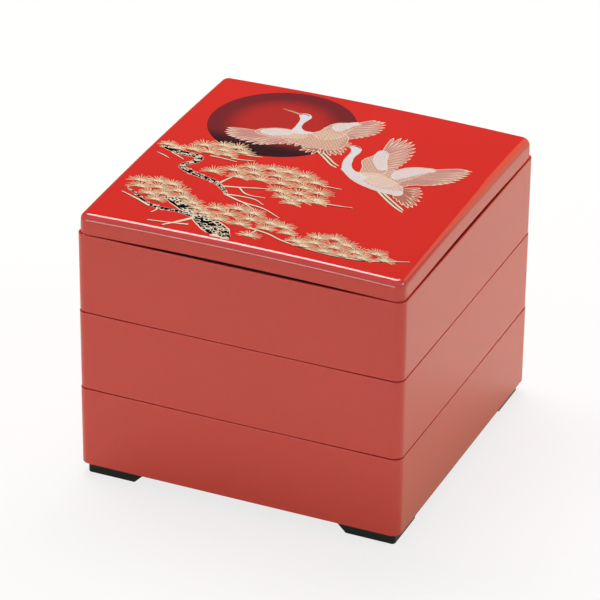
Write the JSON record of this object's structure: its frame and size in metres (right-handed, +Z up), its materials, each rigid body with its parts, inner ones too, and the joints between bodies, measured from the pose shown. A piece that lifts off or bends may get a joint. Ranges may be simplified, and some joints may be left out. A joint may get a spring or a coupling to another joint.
{
  "type": "stacking lacquer jubako box",
  "caption": "Square stacking food box: open tiers with a stepped lip joint, a shallow domed lid and L-shaped corner feet.",
  "frame": {"origin": "on the ground, under the middle of the box", "axes": "+Z up; the front face looks along -Y and the right face along +X"},
  "size_m": [0.196, 0.196, 0.1695],
  "materials": {
    "lid_lacquer": "gloss",
    "tier_lacquer": "semi-gloss",
    "foot_plastic": "satin"
  },
  "bodies": {
    "base": {"lower_tier": "tier_lacquer", "foot_front_left": "foot_plastic", "foot_front_right": "foot_plastic", "foot_back_left": "foot_plastic", "foot_back_right": "foot_plastic"},
    "middle": {"middle_tier": "tier_lacquer"},
    "upper": {"upper_tier": "tier_lacquer"},
    "lid": {"lid": "lid_lacquer"}
  },
  "joints": [
    {"name": "middle_lift", "type": "slide", "parent": "base", "child": "middle", "axis": [0, 0, 1], "range_m": [0, 0.06]},
    {"name": "upper_lift", "type": "slide", "parent": "middle", "child": "upper", "axis": [0, 0, 1], "range_m": [0, 0.06]},
    {"name": "lid_lift", "type": "slide", "parent": "upper", "child": "lid", "axis": [0, 0, 1], "range_m": [0, 0.06]}
  ]
}
